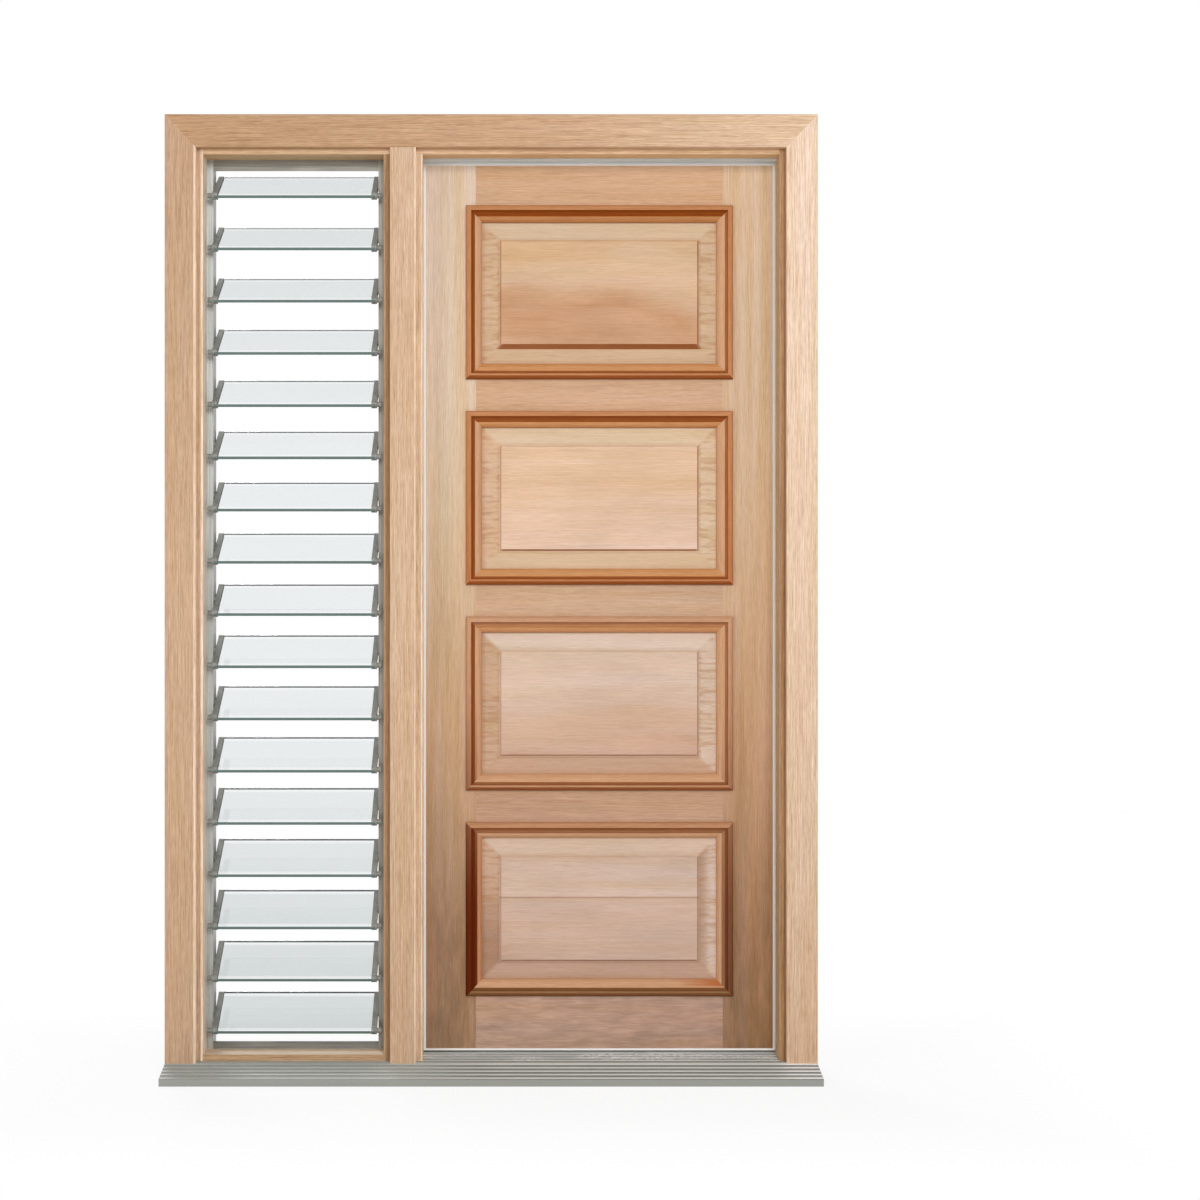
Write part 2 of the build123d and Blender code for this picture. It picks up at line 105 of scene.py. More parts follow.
# Node maths
class Wire:
    """An output socket: arithmetic on it adds Math nodes, and node() adds any other node."""

    def __init__(self, tree, socket=None):
        self.tree = tree
        self.socket = socket

    def node(self, kind, settings=None, sockets=None, output=0):
        made = self.tree.nodes.new(kind)
        for name, value in (settings or {}).items():
            if name == "stops":
                set_stops(made.color_ramp, value)
            else:
                setattr(made, name, value)
        for name, value in (sockets or {}).items():
            if isinstance(value, Wire):
                self.tree.links.new(value.socket, made.inputs[name])
            else:
                made.inputs[name].default_value = value
        return Wire(self.tree, made.outputs[output] if len(made.outputs) else None)

    def math(self, operation, first, second=0.0):
        return self.node("ShaderNodeMath", {"operation": operation}, {0: first, 1: second})

    def __add__(self, other):
        return self.math("ADD", self, other)

    def __radd__(self, other):
        return self.math("ADD", other, self)

    def __sub__(self, other):
        return self.math("SUBTRACT", self, other)

    def __rsub__(self, other):
        return self.math("SUBTRACT", other, self)

    def __mul__(self, other):
        return self.math("MULTIPLY", self, other)

    def __rmul__(self, other):
        return self.math("MULTIPLY", other, self)

    def __truediv__(self, other):
        return self.math("DIVIDE", self, other)

    def __mod__(self, other):
        return self.math("MODULO", self, other)

    def __gt__(self, other):
        return self.math("GREATER_THAN", self, other)

    def __abs__(self):
        return self.math("ABSOLUTE", self)

    def larger(self, other):
        return self.math("MAXIMUM", self, other)

    def smaller(self, other):
        return self.math("MINIMUM", self, other)

    def rise(self, low, high):
        """0 below low, 1 above high and a smooth step between them."""
        return self.node(
            "ShaderNodeMapRange",
            {"interpolation_type": "SMOOTHSTEP"},
            {"Value": self, "From Min": low, "From Max": high},
        )

    def band(self, low, high, soft):
        """1 between low and high, with soft ends."""
        return self.rise(low - soft, low + soft) * (1.0 - self.rise(high - soft, high + soft))

    def blend(self, first, second, share):
        """The first colour with a share of the second over it."""
        return self.node("ShaderNodeMix", {"data_type": "RGBA"}, {0: share, 6: first, 7: second}, 2)

    def ramp(self, stops):
        """A colour from (place, colour) stops."""
        return self.node("ShaderNodeValToRGB", {"stops": stops}, {0: self})

    def scaled(self, factor):
        """This colour times a number."""
        return self.node("ShaderNodeVectorMath", {"operation": "SCALE"}, {0: self, "Scale": factor})

    def tinted(self, tint):
        """This colour times another, part by part."""
        return self.node("ShaderNodeVectorMath", {"operation": "MULTIPLY"}, {0: self, 1: tint})

    def parts(self):
        """The three parts of a vector."""
        return [self.node("ShaderNodeSeparateXYZ", {}, {0: self}, axis) for axis in range(3)]

    def vector(self, x, y, z):
        return self.node("ShaderNodeCombineXYZ", {}, {0: x, 1: y, 2: z})


def set_stops(ramp, stops):
    """Gives a colour ramp these (place, colour) stops."""
    while len(ramp.elements) > 1:
        ramp.elements.remove(ramp.elements[-1])
    ramp.elements[0].position = stops[0][0]
    ramp.elements[0].color = stops[0][1]
    for place, colour in stops[1:]:
        ramp.elements.new(place).color = colour


# Finishes
# How far a face turns aside before its own tone, painted light and shade by facing, starts, and when
# that tone is full
TURN_START = 0.15
TURN_FULL = 0.6


class Finish:
    """A new material: its tree, the place on the piece and the way that the surface faces."""

    def __init__(self, name):
        self.material = bpy.data.materials.new(name)
        self.material.use_nodes = True
        self.material.node_tree.nodes.clear()
        self.root = Wire(self.material.node_tree)
        self.place = self.root.node("ShaderNodeTexCoord", output="Object")
        self.x, self.y, self.z = self.place.parts()
        facing = self.root.node("ShaderNodeTexCoord", output="Normal").parts()
        self.right = facing[X_AXIS].rise(TURN_START, TURN_FULL)
        self.left = (0.0 - facing[X_AXIS]).rise(TURN_START, TURN_FULL)
        self.up = facing[Z_AXIS].rise(TURN_START, TURN_FULL)
        self.down = (0.0 - facing[Z_AXIS]).rise(TURN_START, TURN_FULL)

    def streaks(self, axis, stretch, scale, shift, detail=3.0, distortion=0.0):
        """Noise drawn out along one axis, from 0 to 1."""
        stretched = [1.0, 1.0, 1.0]
        stretched[axis] = 1.0 / stretch
        mapped = self.root.node(
            "ShaderNodeMapping", {}, {"Vector": self.place, "Location": shift, "Scale": stretched}
        )
        return self.root.node(
            "ShaderNodeTexNoise",
            {},
            {"Vector": mapped, "Scale": scale, "Detail": detail, "Distortion": distortion},
        )

    def along(self, axis, low, high):
        """0 to 1 along one axis of a box."""
        return ((self.x, self.y, self.z)[axis] - low[axis]) / (high[axis] - low[axis])

    def bump(self, height, strength, distance):
        """A normal tilted by a height."""
        return self.root.node(
            "ShaderNodeBump", {}, {"Strength": strength, "Distance": distance, "Height": height}
        )

    def close(self, **sockets):
        """Joins the surface to the output and gives the material."""
        named = {key.replace("_", " "): value for key, value in sockets.items()}
        shader = self.root.node("ShaderNodeBsdfPrincipled", {}, named)
        self.root.node("ShaderNodeOutputMaterial", {}, {"Surface": shader})
        return self.material


def cut_from(number):
    """Where in the timber a piece is cut from, so that no two pieces share their grain."""
    return (1.7 * number, 0.9 * number, 2.3 * number)


def fibre(finish, axis, shift):
    """A timber's grain along one axis: broad figure, growth lines, dashes, pores and ribbons."""
    figure = finish.streaks(axis, 9.0, 16.0, shift, 2.0, 0.5)
    lines = finish.streaks(axis, 45.0, 360.0, shift, 2.0, 0.3)
    dashes = finish.streaks(axis, 16.0, 620.0, shift[::-1], 2.0)
    pores = finish.streaks(axis, 24.0, 640.0, shift, 2.0).rise(0.58, 0.74)
    ribbons = finish.streaks(axis, 30.0, 46.0, shift[::-1], 1.0)
    return figure, lines, dashes, pores, ribbons


# How much more green and blue than red a dark fibre takes away, and a pale ribbon gives
FIBRE_HUE = (1.0, 1.3, 1.6)
RIBBON_HUE = (0.25, 0.45, 1.0)
GRAIN_STRENGTH = 0.25
GRAIN_DEPTH = 0.0008


def close_timber(finish, base, layers, heart, heart_share, contrast, gloss=0.2):
    """Draws the grain over a base colour; contrast is that of its layers, in fibre()'s order."""
    figure, lines, dashes, pores, ribbons = layers
    warm = finish.root.blend(base, heart, figure.rise(0.35, 0.75) * heart_share)
    fibres = (
        contrast[0] * (figure - 0.5)
        + contrast[1] * (lines - 0.5)
        + contrast[2] * (dashes - 0.5)
        - contrast[3] * pores
    )
    ribbon = contrast[4] * (ribbons - 0.5)
    hues = zip(FIBRE_HUE, RIBBON_HUE)
    tint = finish.root.vector(*[1.0 + deep * fibres + pale * ribbon for deep, pale in hues])
    relief = lines + 0.5 * dashes - 0.6 * pores
    return finish.close(
        Base_Color=warm.tinted(tint),
        Roughness=0.52 + 0.2 * lines,
        Specular_IOR_Level=gloss,
        Normal=finish.bump(relief, GRAIN_STRENGTH, GRAIN_DEPTH),
    )


def dress(node, material):
    """Gives a CAD node this material alone."""
    for slot in nodes[node].material_slots:
        slot.material = material


# Frame timbers: tones along or across each board, with painted shadow on the right jamb beside its
# face board and on the mullion beside its cover, and painted light on the faces that turn aside
LINE_SOFT = 0.0006
FRAME_HEART = paint(190, 142, 102)
FRAME_HEART_SHARE = 0.25
FRAME_GRAIN = (0.20, 0.80, 0.66, 0.14, 0.35)


def frame_board(node, number, grain_axis, tone_axis, tones, painted_by_facing):
    finish = Finish(f"{node}_timber")
    low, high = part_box(node)
    base = finish.along(tone_axis, low, high).ramp(tones)
    # A painted highlight along the right arris
    if node in painted_arris_highlights:
        width, tone = painted_arris_highlights[node]
        start = high.x - width
        base = finish.root.blend(base, tone, finish.x.rise(start - LINE_SOFT, start + LINE_SOFT))
    # Painted light: a face that turns aside takes its own paler tone
    for side, tone in painted_by_facing.items():
        base = finish.root.blend(base, tone, getattr(finish, side))
    layers = fibre(finish, grain_axis, cut_from(number))
    return close_timber(finish, base, layers, FRAME_HEART, FRAME_HEART_SHARE, FRAME_GRAIN)


# Width and tone of the painted highlight along a timber's right arris
painted_arris_highlights = {
    "left_face_board": (0.0055, paint(236, 208, 180)),
    "mullion_cover": (0.0032, paint(242, 214, 188)),
    "left_jamb": (0.0055, paint(250, 224, 198)),
    "mullion": (0.0040, paint(240, 212, 186)),
}
# Each board: grain axis, tone axis, tones along that axis, and the paler painted-light tone of each
# face that turns aside
frame_boards = {
    "left_face_board": (
        Z_AXIS,
        Z_AXIS,
        [(0.0, paint(194, 160, 129)), (0.5, paint(202, 169, 138)), (1.0, paint(192, 157, 127))],
        {"right": paint(252, 228, 204)},
    ),
    "right_face_board": (
        Z_AXIS,
        Z_AXIS,
        [(0.0, paint(211, 177, 146)), (0.5, paint(233, 204, 177)), (1.0, paint(238, 209, 183))],
        {},
    ),
    "head_face_board": (
        X_AXIS,
        X_AXIS,
        [(0.0, paint(186, 147, 112)), (0.55, paint(196, 158, 124)), (1.0, paint(226, 194, 163))],
        {},
    ),
    "mullion_cover": (
        Z_AXIS,
        Z_AXIS,
        [(0.0, paint(200, 167, 136)), (0.5, paint(213, 181, 150)), (1.0, paint(210, 176, 145))],
        {"right": paint(250, 224, 200)},
    ),
    "left_jamb": (
        Z_AXIS,
        Z_AXIS,
        [(0.0, paint(197, 163, 131)), (1.0, paint(199, 165, 133))],
        {"right": paint(255, 240, 222)},
    ),
    # The right jamb darkens towards its face board: painted shadow
    "right_jamb": (
        Z_AXIS,
        X_AXIS,
        [(0.0, paint(178, 140, 102)), (0.3, paint(134, 95, 58)), (0.36, paint(203, 168, 136))],
        {"left": paint(198, 170, 130)},
    ),
    "head": (
        X_AXIS,
        X_AXIS,
        [(0.0, paint(212, 176, 138)), (1.0, paint(214, 178, 140))],
        {"down": paint(221, 188, 144)},
    ),
    # The mullion darkens on its left side beside the cover: painted shadow
    "mullion": (
        Z_AXIS,
        X_AXIS,
        [
            (0.03, paint(180, 144, 108)),
            (0.06, paint(152, 119, 87)),
            (0.18, paint(144, 111, 79)),
            (0.80, paint(218, 188, 155)),
        ],
        {"right": paint(236, 208, 178)},
    ),
    "sidelight_bottom_rail": (
        X_AXIS,
        X_AXIS,
        [(0.0, paint(190, 156, 120)), (1.0, paint(192, 158, 122))],
        {"up": paint(224, 202, 174)},
    ),
}
for number, (node, board) in enumerate(frame_boards.items(), 1):
    dress(node, frame_board(node, number, *board))

# Stiles and rails: paler and greyer at the top, browner and blotchy towards the foot
LEAF_HEART = paint(206, 152, 114)
LEAF_HEART_SHARE = 0.22
FOOT_BLOTCH_START = 0.1
FOOT_BLOTCH_END = 0.7
FOOT_BLOTCH_CONTRAST = 0.8
STILE_GRAIN = (0.22, 0.40, 0.36, 0.05, 0.90)
RAIL_GRAIN = (0.22, 0.42, 0.40, 0.05, 0.55)
closing_stile_tones = [
    (0.0, paint(149, 118, 90)),
    (0.12, paint(160, 124, 94)),
    (0.35, paint(199, 164, 131)),
    (0.6, paint(217, 193, 163)),
    (0.85, paint(219, 198, 173)),
    (1.0, paint(217, 195, 172)),
]
hinge_stile_tones = [
    (0.0, paint(148, 114, 84)),
    (0.12, paint(158, 120, 90)),
    (0.35, paint(192, 152, 117)),
    (0.6, paint(210, 177, 143)),
    (1.0, paint(211, 184, 155)),
]
leaf_boards = {
    "closing_stile": (Z_AXIS, closing_stile_tones, STILE_GRAIN),
    "hinge_stile": (Z_AXIS, hinge_stile_tones, STILE_GRAIN),
    "top_rail": (X_AXIS, [(0.0, paint(203, 164, 129)), (1.0, paint(205, 166, 131))], RAIL_GRAIN),
    "cross_rail_1": (X_AXIS, [(0.0, paint(204, 165, 132)), (1.0, paint(205, 167, 135))], RAIL_GRAIN),
    "cross_rail_2": (X_AXIS, [(0.0, paint(202, 166, 134)), (1.0, paint(202, 167, 138))], RAIL_GRAIN),
    "cross_rail_3": (X_AXIS, [(0.0, paint(194, 154, 126)), (1.0, paint(190, 152, 124))], RAIL_GRAIN),
    "bottom_rail": (X_AXIS, [(0.0, paint(186, 153, 132)), (1.0, paint(178, 145, 126))], RAIL_GRAIN),
}


def leaf_board(node, number, axis, tones, grain):
    finish = Finish(f"{node}_timber")
    low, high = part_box(node)
    layers = fibre(finish, axis, cut_from(number))
    blotches = finish.streaks(axis, 4.0, 60.0, cut_from(number + 30), 4.0, 0.4)
    foot_blotches = (1.0 - finish.z.rise(FOOT_BLOTCH_START, FOOT_BLOTCH_END)) * (blotches - 0.5)
    base = finish.along(axis, low, high).ramp(tones).scaled(1.0 + FOOT_BLOTCH_CONTRAST * foot_blotches)
    return close_timber(finish, base, layers, LEAF_HEART, LEAF_HEART_SHARE, grain)


for number, (node, (axis, tones, grain)) in enumerate(leaf_boards.items(), 21):
    dress(node, leaf_board(node, number, axis, tones, grain))

# Raised panels: the field's tones from its foot up, the four margins with painted light and shade by
# side, and a painted shade line round the field
panel_looks = {
    1: {
        "field": [
            (0.20, paint(208, 164, 132)),
            (0.34, paint(197, 150, 114)),
            (0.50, paint(209, 174, 144)),
            (0.66, paint(215, 182, 148)),
            (0.82, paint(210, 172, 132)),
        ],
        "warp": 0.8,
        "left": paint(208, 177, 144),
        "right": paint(206, 177, 145),
        "top": paint(211, 186, 157),
        "bottom": paint(208, 177, 144),
        "line": paint(138, 74, 26),
        "under": 0.0115,
    },
    2: {
        "field": [
            (0.20, paint(227, 195, 172)),
            (0.45, paint(224, 190, 162)),
            (0.60, paint(222, 186, 152)),
            (0.82, paint(224, 190, 160)),
        ],
        "warp": 0.15,
        "left": paint(214, 180, 148),
        "right": paint(216, 190, 158),
        "top": paint(218, 194, 164),
        "bottom": paint(214, 186, 152),
        "line": paint(140, 88, 52),
        "under": 0.0038,
    },
    3: {
        "field": [
            (0.20, paint(206, 168, 144)),
            (0.40, paint(210, 176, 152)),
            (0.60, paint(218, 192, 172)),
            (0.82, paint(216, 188, 164)),
        ],
        "warp": 0.4,
        "left": paint(201, 168, 138),
        "right": paint(214, 190, 168),
        "top": paint(218, 196, 176),
        "bottom": paint(198, 162, 134),
        "line": paint(160, 122, 96),
        "under": 0.0032,
    },
    4: {
        "field": [
            (0.20, paint(204, 174, 156)),
            (0.561, paint(208, 178, 158)),
            (0.568, paint(172, 134, 110)),
            (0.576, paint(214, 188, 170)),
            (0.82, paint(208, 180, 162)),
        ],
        "warp": 0.0,
        "left": paint(206, 172, 146),
        "left_foot": paint(168, 134, 110),
        "right": paint(188, 158, 136),
        "right_edge": paint(216, 194, 178),
        "top": paint(212, 188, 168),
        "bottom": paint(194, 162, 142),
        "line": paint(156, 118, 96),
        "under": 0.0036,
    },
}
PANEL_GRAIN = (0.18, 0.20, 0.28, 0.05, 0.45)
MARGIN_MARKS = paint(178, 128, 92)
SIDE_SHADE_WIDTH = 0.0036
PAINTED_SHADE_SHARE = 0.95
MARK_SHARE = 0.45
MITRE_SOFT = 0.008
STAINED_FOOT = 0.08
PALE_EDGE = (0.012, 0.034)
PANEL_HEART_SHARE = 0.15
PANEL_GLOSS = 0.15


def panel_timber(number, look):
    """A raised panel, its grain across the leaf, with a painted shade line under and beside its
    field.
    """
    node = f"panel_{number}"
    finish = Finish(f"{node}_timber")
    root = finish.root
    low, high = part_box(node)
    middle = (low + high) / 2
    layers = fibre(finish, X_AXIS, cut_from(40 + number))
    flame = finish.streaks(X_AXIS, 2.2, 5.0, cut_from(50 + number), 2.0)
    upwards = finish.along(Z_AXIS, low, high) + look["warp"] * (flame - 0.5)
    past_side = abs(finish.x - middle.x) - FIELD_WIDTH / 2
    past_level = abs(finish.z - middle.z) - FIELD_HEIGHT / 2
    past_edge = past_side.larger(past_level)
    beside = (past_side - past_level).rise(-MITRE_SOFT, MITRE_SOFT)
    # Margins by side: painted light and shade on the bevels, the lower margin darker than the upper
    level = root.blend(look["bottom"], look["top"], finish.z > middle.z)
    above_foot = finish.z.rise(low.z + STAINED_FOOT, high.z - STAINED_FOOT)
    left = root.blend(look.get("left_foot", look["left"]), look["left"], above_foot)
    right_edge = look.get("right_edge", look["right"])
    right = root.blend(look["right"], right_edge, past_side.rise(*PALE_EDGE))
    aside = root.blend(left, right, finish.x > middle.x)
    marks = finish.streaks(X_AXIS, 26.0, 125.0, cut_from(70 + number), 1.0).rise(0.46, 0.68)
    margin = root.blend(level, root.blend(aside, MARGIN_MARKS, marks * MARK_SHARE), beside)
    depth = abs(finish.y - LEAF_MIDDLE_Y)
    raised = depth.rise(MARGIN_DEPTH + 0.0015, FIELD_DEPTH - 0.001)
    patches = finish.streaks(X_AXIS, 2.6, 13.0, cut_from(60 + number), 2.0, 0.3)
    field = upwards.ramp(look["field"]).scaled(1.0 + 0.3 * (patches - 0.5))
    base = root.blend(margin, field, raised)
    # Painted shade on the step round the field: deepest below it, and on the sides by the way they
    # face
    painted_by_facing = 0.75 * finish.right + 0.45 * finish.left + 0.15 * finish.up
    aside_painted_shade = past_edge.band(0.0, SIDE_SHADE_WIDTH, LINE_SOFT) * painted_by_facing
    below = (1.0 - beside) * (1.0 - (finish.z > middle.z))
    line = (past_edge.band(0.0, look["under"], LINE_SOFT) * below).larger(aside_painted_shade)
    with_painted_shade = root.blend(base, look["line"], PAINTED_SHADE_SHARE * line)
    return close_timber(
        finish, with_painted_shade, layers, LEAF_HEART, PANEL_HEART_SHARE, PANEL_GRAIN, PANEL_GLOSS
    )


for number, look in panel_looks.items():
    dress(f"panel_{number}", panel_timber(number, look))

# Bolection mouldings: red-brown timber, darkened in the hollows by dust and painted shade, with
# painted shadow under the top member and painted shade on the bottom member's outer edge
LEAF_HEIGHT = 2.0
BEAD_TONES = [
    (0.09, paint(150, 112, 78)),
    (0.25, paint(190, 138, 102)),
    (0.545, paint(202, 155, 120)),
    (0.56, paint(190, 123, 79)),
    (0.75, paint(196, 136, 92)),
    (1.0, paint(190, 132, 88)),
]
OVOLO_TONE = paint(210, 163, 126)
LEVEL_OVOLO_TONE = paint(206, 148, 98)
HOLLOW_TONE = paint(136, 67, 21)
LOW_HOLLOW_TONE = paint(116, 72, 38)
RUST_TONE = paint(182, 92, 30)
FOOT_TONE = paint(94, 34, 8)
SHADE_END = 0.0255
TOE_START = 0.0355
RUST_RUN = (0.022, 0.036, 0.003)
FOOT_BAND_EDGE = (0.0245, 0.0285)
RIM_EDGE = (0.0065, 0.0095)
EDGE_SOFT = 0.001
HOLLOW_SOFT = 0.0008
MOULDING_HEART_SHARE = 0.12
MOULDING_GLOSS = 0.02
MOULDING_GRAIN = (0.18, 0.36, 0.40, 0.05, 0.20)


def moulding_timber(node, number):
    """A moulding ring: tones, dust, rust and painted shade by member, and by how far inward from the
    ring's rim.
    """
    finish = Finish(f"{node}_timber")
    root = finish.root
    low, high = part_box(node)
    middle = (low + high) / 2
    across = abs(finish.x - middle.x) - (high.x - middle.x)
    upright = abs(finish.z - middle.z) - (high.z - middle.z)
    inward = 0.0 - across.larger(upright)
    standing = across > upright
    top = (1.0 - standing) * (finish.z > middle.z)
    bottom = 1.0 - standing - top
    right_side = standing * (finish.x > middle.x)
    left_side = standing - right_side
    level_layers = fibre(finish, X_AXIS, cut_from(80 + number))
    standing_layers = fibre(finish, Z_AXIS, cut_from(80 + number))
    layers = []
    for level_layer, standing_layer in zip(level_layers, standing_layers):
        layers.append(level_layer + standing * (standing_layer - level_layer))
    hollow_end = BEAD_WIDTH + COVE_WIDTH
    hollow = inward.band(BEAD_WIDTH - EDGE_SOFT, hollow_end + 0.002 * left_side, HOLLOW_SOFT)
    ovolo = inward.rise(hollow_end - EDGE_SOFT, hollow_end + EDGE_SOFT)
    top_share = 0.55 + 0.45 * finish.z.rise(1.1, 1.7)
    # Dust and painted shade in the cove, weighted by member
    hollow_dust_and_shade = hollow * (top_share * top + 0.9 * left_side + 0.55 * right_side + 0.75 * bottom)
    # Painted shadow under the top member's bead, over the cove and onto the ovolo
    shade = inward.band(BEAD_WIDTH - EDGE_SOFT, SHADE_END, HOLLOW_SOFT) * top
    lowest = 1.0 - finish.z.rise(0.65, 0.95)
    shade_share = 0.25 + 0.75 * finish.z.rise(0.7, 1.7) + 0.5 * lowest
    top_member_shade = (shade * shade_share).larger(0.25 * top * finish.z.rise(1.6, 1.9) * ovolo)
    toe = inward.rise(TOE_START - EDGE_SOFT, TOE_START + EDGE_SOFT)
    # A painted shade line at the top member's toe
    toe_shade = toe * top * (0.35 - 0.35 * lowest)
    # Painted shade along the bottom member's outer edge
    bottom_edge_shade = (1.0 - inward.rise(*RIM_EDGE)) * bottom * 0.85
    dust_and_shade = hollow_dust_and_shade.larger(top_member_shade).larger(toe_shade).larger(bottom_edge_shade)
    level_share = (1.0 - standing) * finish.z.rise(0.5, 1.2)
    ovolo_tone = root.blend(OVOLO_TONE, LEVEL_OVOLO_TONE, level_share)
    base = root.blend((finish.z / LEAF_HEIGHT).ramp(BEAD_TONES), ovolo_tone, ovolo)
    dust_and_shade_tone = root.blend(LOW_HOLLOW_TONE, HOLLOW_TONE, finish.z.rise(0.2, 0.9))
    with_dust_and_shade = root.blend(base, dust_and_shade_tone, dust_and_shade)
    if number == PANEL_COUNT:
        to_the_right = finish.x.rise(middle.x + 0.15, high.x - 0.02)
        run = bottom * inward.band(*RUST_RUN) * to_the_right
        with_dust_and_shade = root.blend(with_dust_and_shade, RUST_TONE, 0.8 * run)
    low_down = 1.0 - finish.z.rise(0.35, 0.95)
    warmed = root.blend(with_dust_and_shade, RUST_TONE, 0.35 * left_side * ovolo * low_down)
    # The upright members darken towards the foot, in a band inward from the rim
    foot_band = (1.0 - inward.rise(*FOOT_BAND_EDGE)) * low_down
    base = root.blend(warmed, FOOT_TONE, foot_band * (0.98 * left_side + 0.66 * right_side))
    return close_timber(
        finish, base, layers, HOLLOW_TONE, MOULDING_HEART_SHARE, MOULDING_GRAIN, MOULDING_GLOSS
    )


for number in range(1, PANEL_COUNT + 1):
    for side in ("outer", "inner"):
        node = f"{side}_moulding_{number}"
        dress(node, moulding_timber(node, number))


# Metal, plastic, glass and rubber
DRAWN_STRENGTH = 0.12
DRAWN_DEPTH = 0.0004


def drawn_metal(name, axis, light, dark, roughness, metallic):
    """Metal or plastic with drawn lines along one axis."""
    finish = Finish(name)
    lines = finish.streaks(axis, 60.0, 420.0, cut_from(3), 4.0)
    clouds = finish.streaks(axis, 6.0, 40.0, cut_from(5), 3.0)
    base = finish.root.blend(dark, light, (0.6 * lines + 0.4 * clouds).rise(0.3, 0.7))
    return finish.close(
        Base_Color=base,
        Metallic=metallic,
        Roughness=roughness + 0.15 * clouds,
        Normal=finish.bump(lines, DRAWN_STRENGTH, DRAWN_DEPTH),
    )


SILL_HALF = 0.75
GROOVE = (0.0008, 0.0022, 0.0004)
# The strip in front of the leaf is painted paler: painted light against the shade of the recess
LEAF_FRONT_STRIP = (0.03, 0.086, 0.012)
LEAF_FRONT_PAINTED_LIGHT = paint(214, 219, 218)
SHADED_SIDE_TONE = paint(158, 159, 153)
SCUFF_TONE = paint(255, 255, 255)
GROOVE_TONE = paint(84, 86, 80)
# Tread tones from left to right: paler to the right, ending in a painted highlight at the right end
RIB_TONES = [
    (0.30, paint(180, 183, 177)),
    (0.50, paint(224, 229, 225)),
    (0.92, paint(230, 235, 231)),
    (0.95, paint(255, 255, 255)),
]


def sill_metal():
    """Mill aluminium: paler to the right with a painted highlight at its right end, painted light in
    front of the leaf, painted shade on faces that don't face up, scuffed, and darker in its grooves.
    """
    finish = Finish("sill_metal_finish")
    root = finish.root
    lines = finish.streaks(X_AXIS, 60.0, 420.0, cut_from(11), 4.0)
    scuffed = finish.streaks(X_AXIS, 4.0, 18.0, cut_from(13), 2.0).rise(0.48, 0.60)
    speckle = finish.streaks(X_AXIS, 3.0, 300.0, cut_from(15), 2.0).rise(0.44, 0.56)
    front_plane = SILL_KNEE + SILL_FRONT_FALL * finish.y
    back_plane = SILL_KNEE + SILL_BACK_RISE * finish.y
    sunk = front_plane.smaller(back_plane).smaller(SILL_TOP) - finish.z
    groove = sunk.band(*GROOVE)
    in_leaf_front_strip = finish.y.band(*LEAF_FRONT_STRIP)
    toward_right = finish.x.rise(-0.25, 0.0)
    ribs = ((finish.x + SILL_HALF) / (2.0 * SILL_HALF)).ramp(RIB_TONES)
    tread = root.blend(ribs, LEAF_FRONT_PAINTED_LIGHT, in_leaf_front_strip)
    # Faces that don't face up take a darker tone: painted shade
    clean = root.blend(SHADED_SIDE_TONE, tread, finish.up)
    scuffs = scuffed * speckle * finish.up * (0.1 + 0.9 * in_leaf_front_strip)
    worn = root.blend(clean.scaled(0.92 + 0.16 * lines), SCUFF_TONE, scuffs)
    groove_darkening = groove * (0.2 + 0.5 * toward_right) * (1.0 - 0.5 * in_leaf_front_strip) * (1.0 - scuffs)
    base = root.blend(worn, GROOVE_TONE, groove_darkening)
    return finish.close(
        Base_Color=base,
        Metallic=0.05,
        Roughness=0.62 + 0.15 * groove,
        Specular_IOR_Level=0.25,
        Normal=finish.bump(lines, DRAWN_STRENGTH, DRAWN_DEPTH),
    )


dress("sill", sill_metal())

# Name, drawn axis, light and dark tone, roughness and metallic share, and the nodes that take it
drawn_finishes = [
    # The two channels are one aluminium, the left painted paler as lit and the right darker as
    # shaded
    (
        ("left_channel_finish", Z_AXIS, paint(197, 199, 195), paint(158, 159, 154), 0.4, 0.6),
        ("left_louvre_channel",),
    ),
    (
        ("right_channel_finish", Z_AXIS, paint(168, 165, 156), paint(129, 126, 116), 0.4, 0.6),
        ("right_louvre_channel",),
    ),
    (
        ("top_bar_finish", X_AXIS, paint(160, 157, 149), paint(110, 107, 99), 0.4, 0.6),
        ("louvre_top_bar",),
    ),
    (
        ("bottom_bar_finish", X_AXIS, paint(150, 149, 143), paint(104, 103, 97), 0.5, 0.3),
        ("louvre_bottom_bar",),
    ),
    (
        ("carrier_metal_finish", X_AXIS, paint(228, 232, 232), paint(196, 204, 206), 0.4, 0.2),
        ("head_seal_carrier",),
    ),
    (
        ("clip_finish", Z_AXIS, paint(156, 156, 150), paint(112, 112, 106), 0.5, 0.1),
        ("left_blade_clips", "right_blade_clips"),
    ),
    (
        ("hinge_steel_finish", Z_AXIS, paint(172, 172, 170), paint(136, 136, 134), 0.3, 0.9),
        ("hinge_jamb_flaps", "hinge_pins", "hinge_leaf_flaps"),
    ),
]
for look, dressed_nodes in drawn_finishes:
    metal = drawn_metal(*look)
    for node in dressed_nodes:
        dress(node, metal)


def seal_rubber():
    finish = Finish("seal_rubber_finish")
    speckle = finish.streaks(Z_AXIS, 2.0, 300.0, cut_from(7))
    base = finish.root.blend(paint(236, 232, 226), paint(252, 250, 246), speckle)
    return finish.close(Base_Color=base, Roughness=0.6)


dress("leaf_seal", seal_rubber())


# Where the ground edge and the painted highlight strip beside it start and are full, inward from the
# end
GROUND_EDGE = (0.0016, 0.0008)
HIGHLIGHT_STRIP = (0.012, 0.008)


